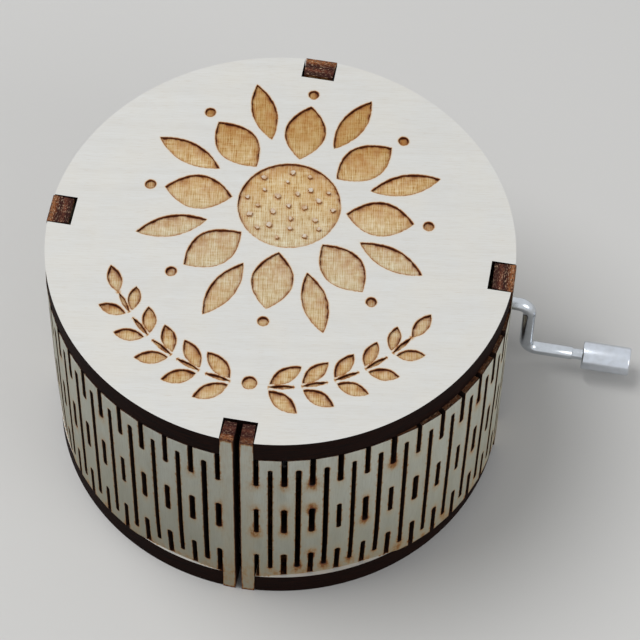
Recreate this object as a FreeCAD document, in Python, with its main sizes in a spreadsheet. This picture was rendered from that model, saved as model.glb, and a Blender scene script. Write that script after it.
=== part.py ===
"""Hand-cranked music box in a round plywood box.

Two plywood discs are joined by one slotted plywood band, which is bent into a ring and whose tabs
stand in notches of the discs. A cylinder-and-comb movement is screwed to the base disc. Its crank
comes out through the band.

Millimetres. The origin is the centre of the base disc's underside. +Z is up, +X is the side where
the crank comes out, and the band's ends meet at -Y.
"""
import FreeCAD, Part
import math
import os
import re
import Sketcher
from FreeCAD import Placement, Rotation, Vector

SIZES = [
    # the box
    ("disc_radius", 40.0, "lid and base disc"),
    ("disc_thick", 5.0, "plywood of the discs"),
    ("inner_height", 40.0, "between the discs"),
    ("band_proud", 0.2, "band's outer face beyond the discs' edge"),
    ("band_thick", 3.7, "plywood of the band"),
    ("tab_width", 5.6, "band's tabs"),
    ("tab_play", 0.1, "each side of a tab in its notch"),
    ("notch_depth", 4.15, "notches in the discs' edge"),
    ("seam_gap", 1.1, "between the band's two ends"),
    # the slots that let the band bend
    ("slot_width", 0.75, "laser-cut slots"),
    ("slots_per_side", 12, "long slots from one tab to the next"),
    ("long_slot_margin", 3.0, "above and below a long slot"),
    ("edge_slot_depth", 8.3, "slots open at the band's edge"),
    ("middle_slot_length", 8.0, "short slots at mid-height"),
    # the crank
    ("crank_offset", 16.6, "shaft behind the middle of the box"),
    ("crank_height", 18.0, "shaft above the table"),
    ("wire_radius", 1.2, "crank wire"),
    ("bend_radius", 2.2, "middle of the wire in its bends"),
    ("arm_standoff", 2.73, "middle of the arm beyond the band"),
    ("arm_length", 13.3, "shaft to handle"),
    ("handle_length", 8.8, "middle of the arm to the journal's shoulder"),
    ("journal_radius", 1.0, "turned-down end that the knob spins on"),
    ("knob_standoff", 1.8, "shoulder to knob"),
    ("knob_radius", 2.6, "knob"),
    ("knob_length", 8.8, "knob"),
    ("knob_chamfer", 0.3, "both rims of the knob"),
    ("knob_recess_radius", 1.85, "recess for the retainer"),
    ("knob_recess_depth", 1.3, "recess for the retainer"),
    ("retainer_radius", 1.6, "disc riveted on the journal"),
    ("retainer_thick", 0.6, "disc riveted on the journal"),
    ("end_play", 0.2, "along every axle"),
    ("running_play", 0.05, "round every axle"),
    ("crank_hole_radius", 3.0, "hole in the band"),
    # the worm drive
    ("tooth_module", 0.6, "worm and wheel"),
    ("wheel_teeth", 18, "worm wheel"),
    ("worm_pitch_radius", 2.6, "worm"),
    ("worm_turns_each_way", 1, "worm's thread, from its middle"),
    ("worm_length", 9.6, "worm"),
    ("backlash", 0.175, "each flank"),
    ("wheel_width", 2.4, "worm wheel's rim"),
    ("boss_radius", 2.4, "worm wheel's boss"),
    ("wheel_boss_length", 2.6, "from the wheel's rim towards the cheek"),
    # the drum
    ("drum_middle", 4.0, "drum's axis towards the crank side"),
    ("drum_radius", 6.3, "drum"),
    ("drum_wall", 0.5, "drum's tube"),
    ("drum_length", 26.0, "drum"),
    ("drum_setback", 4.0, "drum's end to the worm wheel's middle"),
    ("cap_thick", 1.5, "drum's end caps"),
    ("arbor_radius", 1.0, "drum's arbor"),
    ("arbor_overhang", 0.6, "arbor beyond its two bearings"),
    ("pin_width", 0.4, "drum's pins"),
    ("pin_root", 0.2, "part of a pin in the drum's wall"),
    ("pin_height", 0.9, "drum's pins"),
    # the comb
    ("comb_teeth", 18, "comb"),
    ("drum_margin", 0.76, "drum beyond the tracks of its first and last pin"),
    ("tooth_gap", 0.36, "between two teeth"),
    ("tooth_length", 11.0, "comb"),
    ("comb_thick", 1.0, "comb"),
    ("comb_heel", 7.0, "part of the comb that is screwed down"),
    ("comb_rim", 0.7, "comb beyond its first and last tooth"),
    ("comb_clearance", 0.15, "teeth to the drum's pins"),
    ("weight_count", 5, "bass teeth that carry a weight"),
    ("weight_length", 3.0, "bass weight"),
    ("weight_height", 1.6, "bass weight"),
    # the movement's frame
    ("slab_thick", 3.0, "bedplate's slab"),
    ("slab_margin", 1.0, "slab beyond the comb, the cheek and the outer post"),
    ("rail_width", 6.0, "rail under the comb"),
    ("post_thick", 2.5, "posts of the crank shaft and the arbor's cheek"),
    ("post_width", 7.0, "posts of the crank shaft"),
    ("cheek_width", 10.0, "cheek and bracket of the arbor"),
    ("bracket_thick", 1.5, "arbor bracket"),
    ("bracket_foot", 6.5, "foot of the arbor bracket"),
    # the fasteners
    ("screw_radius", 1.25, "screws of the movement"),
    ("screw_head_radius", 2.3, "screws of the movement"),
    ("screw_head_thick", 1.5, "screws of the movement"),
    ("screw_head_inset", 0.3, "head below the base's underside"),
    ("screw_hole_play", 0.15, "base disc round the screws"),
    ("head_play", 0.4, "base disc round the screw heads"),
    ("screw_edge", 3.6, "middle of a screw from the slab's edge"),
    ("small_screw_radius", 1.0, "screws of the comb and the bracket"),
    ("small_head_radius", 1.9, "screws of the comb and the bracket"),
    ("small_head_thick", 1.1, "screws of the comb and the bracket"),
    ("small_screw_grip", 5.0, "thread below the comb"),
    ("comb_screw_spread", 14.0, "between the comb's screws"),
    # the engraving on the lid
    ("engraving_depth", 0.5, "all of the engraving"),
    ("rosette_shift", 8.0, "rosette behind the lid's middle"),
    ("heart_radius", 8.8, "round middle of the rosette"),
    ("petals", 8, "round the heart"),
    ("petal_start", 10.0, "inner end of the petals"),
    ("petal_end", 21.6, "outer end of the petals"),
    ("petal_half_width", 3.5, "petals"),
]

# Sizes that follow from the ones above.
DERIVED = [
    ("total_height", "inner_height + 2 * disc_thick"),
    ("lid_underside", "disc_thick + inner_height"),
    ("band_outer", "disc_radius + band_proud"),
    ("band_inner", "band_outer - band_thick"),
    ("beyond", "band_outer + 5"),
    ("notch_floor", "disc_radius - notch_depth"),
    ("notch_half", "tab_width / 2 + tab_play"),
    ("first_slot", "asin((tab_width + slot_width) / 2 / band_outer) / 1 deg"),
    ("slot_step", "(90 - 2 * first_slot) / slots_per_side"),
    ("arm_middle", "band_outer + arm_standoff"),
    ("journal_shoulder", "arm_middle + handle_length"),
    ("knob_start", "journal_shoulder + knob_standoff"),
    ("knob_end", "knob_start + knob_length"),
    ("retainer_start", "knob_end - knob_recess_depth + end_play"),
    ("handle_height", "crank_height - arm_length"),
    ("worm_pitch", "pi * tooth_module"),
    ("worm_outer", "worm_pitch_radius + tooth_module"),
    ("worm_root", "worm_pitch_radius - 1.25 * tooth_module"),
    ("wheel_pitch_radius", "wheel_teeth * tooth_module / 2"),
    ("wheel_root", "wheel_pitch_radius - 1.25 * tooth_module"),
    ("drum_height", "crank_height + worm_pitch_radius + wheel_pitch_radius"),
    ("drum_right", "crank_offset - drum_setback"),
    ("drum_left", "drum_right - drum_length"),
    ("pin_reach", "drum_radius + pin_height"),
    ("post_offset", "worm_length / 2 + end_play"),
    ("shaft_start", "drum_middle - post_offset - post_thick - arbor_overhang"),
    ("cheek_start", "crank_offset + wheel_width / 2 + wheel_boss_length + end_play"),
    ("bracket_face", "drum_left - end_play"),
    ("comb_tip", "drum_middle - pin_reach - comb_clearance"),
    ("comb_root", "comb_tip - tooth_length"),
    ("comb_back", "comb_root - comb_heel"),
    ("comb_middle", "drum_left + drum_length / 2"),
    ("tooth_pitch", "(drum_length - 2 * drum_margin) / comb_teeth"),
    ("comb_half", "comb_teeth * tooth_pitch / 2 + comb_rim"),
    ("comb_underside", "drum_height - comb_thick / 2"),
    ("slab_top", "disc_thick + slab_thick"),
    ("slab_left", "comb_back - slab_margin"),
    ("slab_right", "drum_middle + post_offset + post_thick + slab_margin"),
    ("slab_front", "bracket_face - bracket_thick - bracket_foot"),
    ("slab_rear", "cheek_start + post_thick + slab_margin"),
    ("comb_screw_x", "comb_back + rail_width / 2"),
    ("foot_screw_y", "bracket_face - bracket_thick - bracket_foot / 2"),
]

SEAM_AZIMUTH = 270
# Degrees round the drum from one tooth's pin to the next one's.
TUNE_STEP = 47

SCREW_SIDES = 8
# Facets of the worm's thread in one turn.
THREAD_STEPS = 12

doc = FreeCAD.newDocument("music_box")
sheet = doc.addObject("Spreadsheet::Sheet", "sizes")
ALIASES = {name for name, *_ in SIZES + DERIVED}


def fill_sheet():
    """Writes the driving sizes, and under them the sizes that follow from them."""
    for row, (name, number, note) in enumerate(SIZES, 1):
        sheet.set(f"A{row}", name)
        sheet.set(f"B{row}", str(number))
        sheet.setAlias(f"B{row}", name)
        sheet.set(f"C{row}", note)
    for row, (name, formula) in enumerate(DERIVED, len(SIZES) + 2):
        sheet.set(f"A{row}", name)
        sheet.set(f"B{row}", "=" + formula)
        sheet.setAlias(f"B{row}", name)
    doc.recompute()


def qualified(formula):
    """The same formula with every size named as a cell of the sheet."""
    name_or_cell = lambda word: "sizes." + word[0] if word[0] in ALIASES else word[0]
    return re.sub(r"[A-Za-z_]\w*", name_or_cell, formula)


def value(formula):
    """The number that a formula of sizes has now."""
    result = sheet.evalExpression(qualified(formula))
    return float(getattr(result, "Value", result))


def bind(thing, path, formula):
    """Ties one property to the sheet."""
    thing.setExpression(path, qualified(str(formula)))


def origin(body, role):
    """One plane or axis of a body's own origin."""
    return next(feature for feature in body.Origin.OriginFeatures if feature.Role == role)


def new_body(label):
    body = doc.addObject("PartDesign::Body", label)
    body.Label = label
    return body


def new_sketch(body, name, plane="XY_Plane", depth="0", shift=("0", "0"), turn=None):
    """A sketch on an origin plane, moved along the plane's normal and turned by formulas."""
    sketch = body.newObject("Sketcher::SketchObject", name)
    sketch.AttachmentSupport = [(origin(body, plane), "")]
    sketch.MapMode = "FlatFace"
    if turn:
        sketch.AttachmentOffset = Placement(Vector(), Rotation(Vector(0, 0, 1), value(turn)))
        bind(sketch, "AttachmentOffset.Rotation.Angle", turn)
    for letter, formula in zip("xyz", (*shift, depth)):
        if formula != "0":
            bind(sketch, f"AttachmentOffset.Base.{letter}", formula)
    return sketch


def hold(sketch, kind, formula, *places):
    """One dimension of a sketch, tied to the sheet."""
    number = sketch.addConstraint(Sketcher.Constraint(kind, *places, value(formula)))
    bind(sketch, f"Constraints[{number}]", formula)


def hold_point(sketch, geometry, point, across, up):
    hold(sketch, "DistanceX", across, -1, 1, geometry, point)
    hold(sketch, "DistanceY", up, -1, 1, geometry, point)


def outline(sketch, corners):
    """A closed outline of straight sides. Each corner is a pair of formulas."""
    points = [Vector(value(across), value(up), 0) for across, up in corners]
    first = sketch.GeometryCount
    for start, end in zip(points, points[1:] + points[:1]):
        sketch.addGeometry(Part.LineSegment(start, end))
    for index, (across, up) in enumerate(corners):
        before = first + (index - 1) % len(corners)
        sketch.addConstraint(Sketcher.Constraint("Coincident", before, 2, first + index, 1))
        hold_point(sketch, first + index, 1, across, up)


def rectangle(sketch, left, right, bottom, top):
    outline(sketch, [(left, bottom), (right, bottom), (right, top), (left, top)])


def circle(sketch, radius, across="0", up="0"):
    middle = Vector(value(across), value(up), 0)
    number = sketch.addGeometry(Part.Circle(middle, Vector(0, 0, 1), value(radius)))
    if (across, up) == ("0", "0"):
        sketch.addConstraint(Sketcher.Constraint("Coincident", number, 3, -1, 1))
    else:
        hold_point(sketch, number, 3, across, up)
    hold(sketch, "Radius", radius, number)


def lens(sketch, start, end, half_width):
    """A leaf along the sketch's X axis: two arcs that meet in points at its ends."""
    first, last, bulge = value(start), value(end), value(half_width)
    radius = f"(({end} - ({start})) ^ 2 / 4 + ({half_width}) ^ 2) / (2 * ({half_width}))"
    ends = Vector(first, 0, 0), Vector(last, 0, 0)
    for side in (1, -1):
        crown = Vector((first + last) / 2, side * bulge, 0)
        number = sketch.addGeometry(Part.Arc(ends[0], crown, ends[1]))
        hold(sketch, "Radius", radius, number)
    start_of_upper, end_of_upper = 2, 1
    start_of_lower, end_of_lower = 1, 2
    upper = sketch.GeometryCount - 2
    lower = upper + 1
    sketch.addConstraint(Sketcher.Constraint("Coincident", upper, start_of_upper, lower, start_of_lower))
    sketch.addConstraint(Sketcher.Constraint("Coincident", upper, end_of_upper, lower, end_of_lower))
    hold_point(sketch, upper, start_of_upper, start, "0")
    hold_point(sketch, upper, end_of_upper, end, "0")


def pad(body, sketch, length):
    feature = body.newObject("PartDesign::Pad", sketch.Name + "_pad")
    feature.Profile = sketch
    bind(feature, "Length", length)
    sketch.Visibility = False
    return feature


def pocket(body, sketch, length, forward=False):
    """A cut from the sketch's plane, against its normal, or along it where forward is set."""
    feature = body.newObject("PartDesign::Pocket", sketch.Name + "_pocket")
    feature.Profile = sketch
    feature.Reversed = forward
    bind(feature, "Length", length)
    return feature


def turned_copies(body, name, features, count, angle="360", axis=None):
    """Repeats features round an axis, which is the body's Z axis unless another is given."""
    pattern = body.newObject("PartDesign::PolarPattern", name)
    pattern.Originals = features
    pattern.Axis = axis or (origin(body, "Z_Axis"), [""])
    bind(pattern, "Angle", angle)
    bind(pattern, "Occurrences", count)
    body.Tip = pattern
    return pattern


def boolean(kind, label, base, tool):
    """One Part boolean of two features."""
    feature = doc.addObject(kind, label)
    feature.Label = label
    feature.Base = base
    feature.Tool = tool
    return feature


def block(body, name, low, high):
    """A box between two corners, each of them three formulas."""
    feature = body.newObject("PartDesign::AdditiveBox", name)
    for letter, size, start, end in zip("xyz", ("Length", "Width", "Height"), low, high):
        bind(feature, f"Placement.Base.{letter}", start)
        bind(feature, size, f"{end} - ({start})")


# A bar or bore is made along Z and turned to the axis that it is named for.
TURNS = {"x": Rotation(Vector(0, 1, 0), 90), "y": Rotation(Vector(1, 0, 0), -90), "z": Rotation()}


def rod(body, name, axis, start, end, beside, radius, cut=False):
    """A round bar along an axis, or a bore. beside holds its place on the other two axes."""
    kind = "Subtractive" if cut else "Additive"
    feature = body.newObject(f"PartDesign::{kind}Cylinder", name)
    feature.Placement = Placement(Vector(), TURNS[axis])
    place = dict(zip([letter for letter in "xyz" if letter != axis], beside))
    place[axis] = start
    for letter in "xyz":
        bind(feature, f"Placement.Base.{letter}", place[letter])
    bind(feature, "Height", f"{end} - ({start})")
    bind(feature, "Radius", radius)


def bore(body, name, axis, start, end, beside, radius):
    rod(body, name, axis, start, end, beside, radius, cut=True)


def screw_hole(body, name, start, end, beside, radius):
    """An upright hole for a screw. Eight sides do for what is this small, on the screws too."""
    hole = body.newObject("PartDesign::SubtractivePrism", name)
    hole.Polygon = SCREW_SIDES
    bind(hole, "Circumradius", radius)
    bind(hole, "Height", f"{end} - ({start})")
    for letter, formula in zip("xyz", (*beside, start)):
        bind(hole, f"Placement.Base.{letter}", formula)


# The box


def disc(label):
    """A plywood disc on the table, with four notches for the band's tabs."""
    body = new_body(label)
    edge = new_sketch(body, label + "_edge")
    circle(edge, "disc_radius")
    pad(body, edge, "disc_thick")
    notch = new_sketch(body, label + "_notch")
    rectangle(notch, "notch_floor", "beyond", "-notch_half", "notch_half")
    cut = pocket(body, notch, "disc_thick", forward=True)
    turned_copies(body, label + "_notches", [cut], "4")
    return body


def base_disc():
    body = disc("base_disc")
    for number, place in enumerate(movement_screw_places(), 1):
        screw_hole(body, f"screw_hole_{number}", "0", "disc_thick", place, "screw_radius + screw_hole_play")
        screw_hole(body, f"head_recess_{number}", "0", "screw_head_inset + screw_head_thick", place,
                   "screw_head_radius + head_play")
    return body


def lid_disc():
    body = disc("lid_disc")
    bind(body, "Placement.Base.z", "lid_underside")
    engrave_rosette(body)
    return body


def engrave_rosette(body):
    """A round heart in a ring of petals, behind the lid's middle."""
    heart = engraving(body, "rosette_heart")
    circle(heart, "heart_radius")
    pocket(body, heart, "engraving_depth")
    petal = engraving(body, "rosette_petal")
    lens(petal, "petal_start", "petal_end", "petal_half_width")
    cut = pocket(body, petal, "engraving_depth")
    turned_copies(body, "rosette_petals", [cut], "petals", axis=(petal, ["N_Axis"]))


def engraving(body, name):
    """A sketch on the lid's top, with its origin at the rosette's middle."""
    return new_sketch(body, name, depth="disc_thick", shift=("0", "rosette_shift"))


def side_band():
    """The plywood strip as it stands, bent into a ring. Azimuths start at +X, where a tab is."""
    ring = doc.addObject("Part::Feature", "band_ring")
    ring.Shape = bent_strip()
    between_tabs = doc.addObject("Part::Feature", "between_tabs")
    between_tabs.Shape = spaces_between_tabs()
    tabbed = boolean("Part::Cut", "tabbed_band", ring, between_tabs)
    slots = doc.addObject("Part::Feature", "band_slots")
    slots.Shape = band_slots()
    slotted = boolean("Part::Cut", "slotted_band", tabbed, slots)
    hole = doc.addObject("Part::Cylinder", "crank_hole")
    hole.Placement = Placement(Vector(), TURNS["x"])
    bind(hole, "Placement.Base.y", "crank_offset")
    bind(hole, "Placement.Base.z", "crank_height")
    bind(hole, "Radius", "crank_hole_radius")
    bind(hole, "Height", "beyond")
    return boolean("Part::Cut", "side_band", slotted, hole)


def bent_strip():
    """A ring with many sides: the strip bends at its long slots and is flat from each to the next."""
    blocks = []
    for radius in (value("band_outer"), value("band_inner")):
        corners = [polar(radius, azimuth) for azimuth in sorted(long_slot_azimuths())]
        face = Part.Face(Part.makePolygon(corners + corners[:1]))
        blocks.append(face.extrude(Vector(0, 0, value("total_height"))))
    outside, inside = blocks
    return outside.cut(inside)


def polar(radius, azimuth):
    return Vector(radius * math.cos(math.radians(azimuth)), radius * math.sin(math.radians(azimuth)), 0)


def short_slot_azimuths():
    """Slots at the band's edges and at its middle. The first and the last of a side are along the tabs."""
    first, step, count = value("first_slot"), value("slot_step"), int(value("slots_per_side"))
    return [90 * tab + first + number * step for tab in range(4) for number in range(count + 1)]


def long_slot_azimuths():
    """Long slots between the short ones, and one in the middle of each tab. At the seam it is the gap."""
    first, step, count = value("first_slot"), value("slot_step"), int(value("slots_per_side"))
    between = [90 * tab + first + (number + 0.5) * step for tab in range(4) for number in range(count)]
    return between + [90 * tab for tab in range(4)]


def spaces_between_tabs():
    """What is cut from the strip's edges, under each disc and over it, from one tab to the next."""
    half, reach = value("tab_width / 2"), value("beyond")
    corner = Part.makeBox(reach, reach, value("disc_thick"), Vector(half, half, 0))
    spaces = []
    for tab in range(4):
        for height in (0, value("lid_underside")):
            space = corner.copy()
            space.rotate(Vector(), Vector(0, 0, 1), 90 * tab)
            space.translate(Vector(0, 0, height))
            spaces.append(space)
    return Part.makeCompound(spaces)


def band_slots():
    """One cutter for each slot of the living hinge and one for the seam, all in one compound."""
    bottom, top = value("disc_thick"), value("lid_underside")
    margin, open_depth = value("long_slot_margin"), value("edge_slot_depth")
    middle, half_length = (bottom + top) / 2, value("middle_slot_length") / 2
    width = value("slot_width")
    cutters = []
    for azimuth in long_slot_azimuths():
        if azimuth == SEAM_AZIMUTH:
            cutters.append(slot_cutter(azimuth, -margin, value("total_height") + margin, value("seam_gap")))
        else:
            cutters.append(slot_cutter(azimuth, bottom + margin, top - margin, width))
    for azimuth in short_slot_azimuths():
        cutters.append(slot_cutter(azimuth, -margin, bottom + open_depth, width))
        cutters.append(slot_cutter(azimuth, middle - half_length, middle + half_length, width))
        cutters.append(slot_cutter(azimuth, top - open_depth, value("total_height") + margin, width))
    return Part.makeCompound(cutters)


def slot_cutter(azimuth, bottom, top, width):
    """A slot through the band, from one height to the other."""
    corner = Vector(value("band_inner") - 1, -width / 2, bottom)
    cutter = Part.makeBox(value("band_thick") + 2, width, top - bottom, corner)
    cutter.rotate(Vector(), Vector(0, 0, 1), azimuth)
    return cutter


# The movement

SHAFT = ("crank_offset", "crank_height")
HANDLE = ("crank_offset", "handle_height")
ARBOR = ("drum_middle", "drum_height")


def bedplate():
    """One casting: slab, comb rail, the crank shaft's two posts and the arbor's cheek."""
    body = new_body("bedplate")
    block(body, "slab", ("slab_left", "slab_front", "disc_thick"), ("slab_right", "slab_rear", "slab_top"))
    block(body, "comb_rail", ("comb_back", "comb_middle - comb_half", "disc_thick"),
          ("comb_back + rail_width", "comb_middle + comb_half", "comb_underside"))
    for name, start in (("inner_post", "drum_middle - post_offset - post_thick"),
                        ("outer_post", "drum_middle + post_offset")):
        end = f"{start} + post_thick"
        block(body, name, (start, "crank_offset - post_width / 2", "disc_thick"),
              (end, "crank_offset + post_width / 2", "crank_height + post_width / 2"))
        bore(body, name + "_bore", "x", start, end, SHAFT, "wire_radius + running_play")
    cheek_end = "cheek_start + post_thick"
    block(body, "cheek", ("drum_middle - cheek_width / 2", "cheek_start", "disc_thick"),
          ("drum_middle + cheek_width / 2", cheek_end, "drum_height"))
    rod(body, "cheek_top", "y", "cheek_start", cheek_end, ARBOR, "cheek_width / 2")
    bore(body, "cheek_bore", "y", "cheek_start", cheek_end, ARBOR, "arbor_radius + running_play")
    for number, place in enumerate(movement_screw_places(), 1):
        screw_hole(body, f"screw_thread_{number}", "disc_thick", "slab_top", place, "screw_radius")
    for number, place in enumerate(comb_screw_places(), 1):
        screw_hole(body, f"comb_thread_{number}", "comb_underside - small_screw_grip", "comb_underside",
                   place, "small_screw_radius")
    screw_hole(body, "foot_thread", "disc_thick", "slab_top", foot_screw_place(), "small_screw_radius")
    return body


def movement_screw_places():
    """The two screws that hold the bedplate, in opposite corners."""
    front_left = "slab_left + screw_edge", "slab_front + screw_edge"
    rear_right = "slab_right - screw_edge", "slab_rear - screw_edge"
    return front_left, rear_right


def comb_screw_places():
    return [("comb_screw_x", f"comb_middle + {side} * comb_screw_spread / 2") for side in (-1, 1)]


def foot_screw_place():
    return "drum_middle", "foot_screw_y"


def arbor_bracket():
    """A bent steel strip: its foot is screwed to the slab, its upright carries the arbor's end."""
    body = new_body("arbor_bracket")
    left, right = "drum_middle - cheek_width / 2", "drum_middle + cheek_width / 2"
    back = "bracket_face - bracket_thick"
    foot_top = "slab_top + bracket_thick"
    block(body, "foot", (left, "slab_front", "slab_top"), (right, "bracket_face", foot_top))
    block(body, "upright", (left, back, "slab_top"), (right, "bracket_face", "drum_height"))
    rod(body, "upright_top", "y", back, "bracket_face", ARBOR, "cheek_width / 2")
    bore(body, "arbor_hole", "y", back, "bracket_face", ARBOR, "arbor_radius + running_play")
    screw_hole(body, "foot_hole", "slab_top", foot_top, foot_screw_place(), "small_screw_radius")
    return body


def comb():
    """A steel plate, slit into teeth."""
    body = new_body("comb")
    plate = new_sketch(body, "comb_plate", depth="comb_underside")
    heel = "comb_half"
    teeth = "(comb_teeth * tooth_pitch - tooth_gap) / 2"
    outline(plate, [
        ("comb_back", f"comb_middle - {heel}"), ("comb_root", f"comb_middle - {heel}"),
        ("comb_root", f"comb_middle - {teeth}"), ("comb_tip", f"comb_middle - {teeth}"),
        ("comb_tip", f"comb_middle + {teeth}"), ("comb_root", f"comb_middle + {teeth}"),
        ("comb_root", f"comb_middle + {heel}"), ("comb_back", f"comb_middle + {heel}"),
    ])
    pad(body, plate, "comb_thick")
    slit = new_sketch(body, "comb_slit", depth="comb_underside")
    first_slit = "comb_middle - (comb_teeth / 2 - 1) * tooth_pitch"
    rectangle(slit, "comb_root", "comb_tip + 1",
              f"{first_slit} - tooth_gap / 2", f"{first_slit} + tooth_gap / 2")
    cut = pocket(body, slit, "comb_thick", forward=True)
    slits = body.newObject("PartDesign::LinearPattern", "comb_slits")
    slits.Originals = [cut]
    slits.Direction = (origin(body, "Y_Axis"), [""])
    bind(slits, "Length", "(comb_teeth - 2) * tooth_pitch")
    bind(slits, "Occurrences", "comb_teeth - 1")
    body.Tip = slits
    for number, place in enumerate(comb_screw_places(), 1):
        screw_hole(body, f"comb_hole_{number}", "comb_underside", "comb_underside + comb_thick",
                   place, "small_screw_radius")
    return body


def bass_weights():
    """Lead blocks soldered under the tips of the lowest teeth."""
    weights = []
    for number in range(int(value("weight_count"))):
        weight = doc.addObject("Part::Box", f"weight_{number + 1}")
        bind(weight, "Length", "weight_length")
        bind(weight, "Width", "tooth_pitch - tooth_gap")
        bind(weight, "Height", "weight_height")
        bind(weight, "Placement.Base.x", "comb_tip - 1 - weight_length")
        bind(weight, "Placement.Base.y",
             f"comb_middle - (comb_teeth / 2 - {number}) * tooth_pitch + tooth_gap / 2")
        bind(weight, "Placement.Base.z", "comb_underside - weight_height")
        weights.append(weight)
    return group("bass_weights", weights)


def group(label, pieces):
    """Identical loose pieces as one node."""
    together = doc.addObject("Part::Compound", label)
    together.Label = label
    together.Links = pieces
    return together


def screws(label, places, head_at, head_thick, head_radius, shank_end, radius):
    """Upright screws. head_at is where head and shank meet; a negative head_thick points down."""
    pieces = []
    for number, (across, along) in enumerate(places, 1):
        parts = []
        ends = ("head", head_radius, f"{head_at} + {head_thick}"), ("shank", radius, shank_end)
        for name, size, end in ends:
            low, high = sorted((head_at, end), key=value)
            part = doc.addObject("Part::Prism", f"{label}_{name}_{number}")
            part.Polygon = SCREW_SIDES
            bind(part, "Circumradius", size)
            bind(part, "Height", f"{high} - ({low})")
            for letter, formula in zip("xyz", (across, along, low)):
                bind(part, f"Placement.Base.{letter}", formula)
            parts.append(part)
        pieces.append(boolean("Part::Fuse", f"{label}_{number}", *parts))
    return group(label, pieces)


def movement_screws():
    """They come up through the base disc, with their heads in its recesses."""
    return screws("movement_screws", movement_screw_places(), "screw_head_inset + screw_head_thick",
                  "-screw_head_thick", "screw_head_radius", "slab_top", "screw_radius")


def comb_screws():
    return screws("comb_screws", comb_screw_places(), "comb_underside + comb_thick", "small_head_thick",
                  "small_head_radius", "comb_underside - small_screw_grip", "small_screw_radius")


def bracket_screw():
    return screws("bracket_screw", [foot_screw_place()], "slab_top + bracket_thick", "small_head_thick",
                  "small_head_radius", "disc_thick", "small_screw_radius")


# The drum, which turns on the arbor

def drum():
    body = new_body("drum")
    rod(body, "drum_tube", "y", "drum_left", "drum_right", ARBOR, "drum_radius")
    bore(body, "drum_inside", "y", "drum_left", "drum_right", ARBOR, "drum_radius - drum_wall")
    return body


def drum_cap(label, start, end):
    """A plug in the drum's end, pressed on the arbor."""
    body = new_body(label)
    rod(body, label + "_plug", "y", start, end, ARBOR, "drum_radius - drum_wall")
    bore(body, label + "_bore", "y", start, end, ARBOR, "arbor_radius")
    return body


def left_drum_cap():
    return drum_cap("left_drum_cap", "drum_left", "drum_left + cap_thick")


def right_drum_cap():
    return drum_cap("right_drum_cap", "drum_right - cap_thick", "drum_right")


def arbor():
    body = new_body("arbor")
    rod(body, "arbor_bar", "y", "bracket_face - bracket_thick - arbor_overhang",
        "cheek_start + post_thick + arbor_overhang", ARBOR, "arbor_radius")
    return body


def drum_pins():
    """A square pin for each tooth of the comb. Their feet are let into the drum's wall."""
    across, up, pitch = value("drum_middle"), value("drum_height"), value("tooth_pitch")
    width, length, teeth = value("pin_width"), value("pin_height + pin_root"), int(value("comb_teeth"))
    foot = value("drum_radius - pin_root")
    first = value("comb_middle") - (teeth - 1) / 2 * pitch
    pins = []
    for tooth in range(teeth):
        pin = Part.makeBox(length, width, width, Vector(foot, -width / 2, -width / 2))
        pin.rotate(Vector(), Vector(0, 1, 0), tooth * TUNE_STEP)
        pin.translate(Vector(across, first + tooth * pitch, up))
        pins.append(pin)
    feature = doc.addObject("Part::Feature", "drum_pins")
    feature.Label = "drum_pins"
    feature.Shape = Part.makeCompound(pins)
    return feature


# The worm drive. Thread and teeth have the same straight-sided section.

HALF_TOOTH = "(worm_pitch / 2 - backlash) / 2"
FLANK = "tan(20)"


def worm():
    """A right-hand thread on a core, made along Z and laid along the crank shaft.

    The core has a flat for each facet of the thread.
    """
    core = doc.addObject("Part::Prism", "worm_core")
    core.Polygon = THREAD_STEPS
    bind(core, "Circumradius", "worm_root")
    bind(core, "Height", "worm_length")
    thread = doc.addObject("Part::Feature", "worm_thread")
    thread.Shape = worm_thread()
    threaded = boolean("Part::Fuse", "threaded_core", core, thread)
    hole = doc.addObject("Part::Cylinder", "worm_bore")
    bind(hole, "Radius", "wire_radius")
    bind(hole, "Height", "worm_length")
    bored = boolean("Part::Cut", "worm", threaded, hole)
    along_shaft = Rotation(Vector(0, 0, 1), Vector(0, -1, 0), Vector(1, 0, 0), "ZXY")
    bored.Placement = Placement(Vector(), along_shaft)
    bind(bored, "Placement.Base.x", "drum_middle - worm_length / 2")
    bind(bored, "Placement.Base.y", "crank_offset")
    bind(bored, "Placement.Base.z", "crank_height")
    return bored


def worm_thread():
    """The thread in flat facets. It stands on +X at the worm's middle, and so many turns each way."""
    half_tooth, slope = value(HALF_TOOTH), value(FLANK)
    foot = half_tooth + 1.25 * value("tooth_module") * slope
    tip = half_tooth - value("tooth_module") * slope
    inside, outside = value("worm_root") - 0.05, value("worm_outer")
    steps = int(value("worm_turns_each_way")) * THREAD_STEPS
    sections = []
    for step in range(-steps, steps + 1):
        middle = Vector(0, 0, value("worm_length") / 2 + step / THREAD_STEPS * value("worm_pitch"))
        outward = polar(1, 360 * step / THREAD_STEPS)
        profile = ((inside, -foot), (outside, -tip), (outside, tip), (inside, foot))
        sections.append([middle + outward * radius + Vector(0, 0, along) for radius, along in profile])
    facets = [sections[0], sections[-1]]
    for before, after in zip(sections, sections[1:]):
        for here in range(4):
            there = (here + 1) % 4
            facets.append([before[here], before[there], after[here]])
            facets.append([before[there], after[there], after[here]])
    faces = [Part.Face(Part.makePolygon(facet + facet[:1])) for facet in facets]
    shell = Part.Shell(faces)
    shell.sewShape()
    solid = Part.Solid(shell)
    if solid.Volume < 0:
        solid.reverse()
    return solid


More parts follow.
